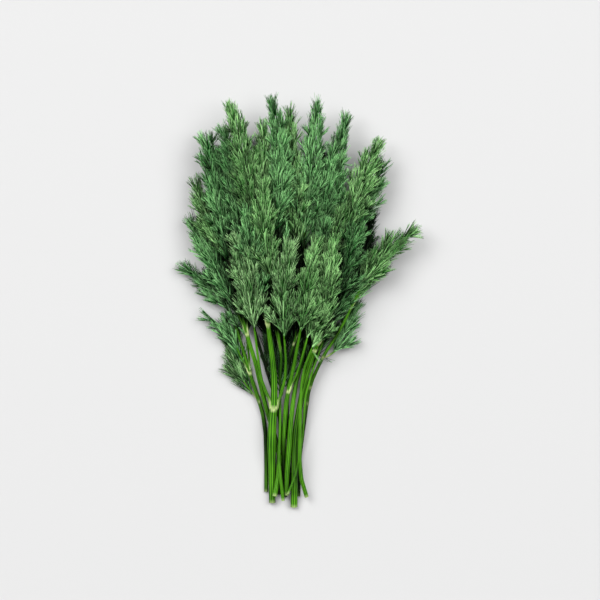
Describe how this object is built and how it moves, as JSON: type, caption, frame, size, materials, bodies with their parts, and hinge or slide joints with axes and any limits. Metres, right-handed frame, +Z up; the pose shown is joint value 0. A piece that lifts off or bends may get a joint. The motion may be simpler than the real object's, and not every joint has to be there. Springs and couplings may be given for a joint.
{
  "type": "dill bunch",
  "caption": "Fresh dill lying flat: ribbed cut stalks gathered at the foot, fanning out into feathery leaves of fine green threads.",
  "frame": {"origin": "centre of the bunch's box in plan, on the surface it lies on", "axes": "+Y from the cut ends to the leaf tips, +X to the right seen from above, +Z up from the surface"},
  "size_m": [0.1808, 0.301, 0.0465],
  "materials": {
    "stalk": "bright green ribbed stalk with a faint waxy sheen, paler at its joints",
    "leaf_deep": "deep blue-green threads, soft and slightly waxy",
    "leaf_fresh": "mid green threads, soft and slightly waxy",
    "leaf_olive": "pale olive threads, soft and slightly waxy"
  },
  "bodies": {
    "root": {"stalk_01": "stalk", "stalk_02": "stalk", "stalk_03": "stalk", "stalk_04": "stalk", "stalk_05": "stalk", "stalk_06": "stalk", "stalk_07": "stalk", "stalk_08": "stalk", "stalk_09": "stalk", "stalk_10": "stalk", "stalk_11": "stalk", "stalk_12": "stalk", "leaf_01_1": "leaf_fresh", "leaf_01_2": "leaf_olive", "leaf_01_3": "leaf_olive", "leaf_01_4": "leaf_deep", "leaf_01_5": "leaf_fresh", "leaf_01_6": "leaf_fresh", "leaf_01_7": "leaf_deep", "leaf_02_1": "leaf_deep", "leaf_02_2": "leaf_deep", "leaf_02_3": "leaf_deep", "leaf_02_4": "leaf_fresh", "leaf_03_1": "leaf_deep", "leaf_03_2": "leaf_olive", "leaf_03_3": "leaf_deep", "leaf_03_4": "leaf_deep", "leaf_04_1": "leaf_deep", "leaf_04_2": "leaf_deep", "leaf_04_3": "leaf_deep", "leaf_05_1": "leaf_fresh", "leaf_05_2": "leaf_fresh", "leaf_06_1": "leaf_deep", "leaf_06_2": "leaf_deep", "leaf_06_3": "leaf_fresh", "leaf_06_4": "leaf_deep", "leaf_07_1": "leaf_deep", "leaf_07_2": "leaf_deep", "leaf_07_3": "leaf_deep", "leaf_07_4": "leaf_deep", "leaf_08_1": "leaf_fresh", "leaf_09_1": "leaf_fresh", "leaf_09_2": "leaf_deep", "leaf_09_3": "leaf_deep", "leaf_09_4": "leaf_fresh", "leaf_09_5": "leaf_deep", "leaf_09_6": "leaf_deep", "leaf_09_7": "leaf_deep", "leaf_09_8": "leaf_deep", "leaf_10_1": "leaf_fresh", "leaf_10_2": "leaf_deep", "leaf_10_3": "leaf_deep", "leaf_10_4": "leaf_deep", "leaf_10_5": "leaf_deep", "leaf_10_6": "leaf_deep", "leaf_11_1": "leaf_deep", "leaf_12_1": "leaf_deep", "leaf_12_2": "leaf_deep", "leaf_12_3": "leaf_deep"}
  },
  "joints": []
}
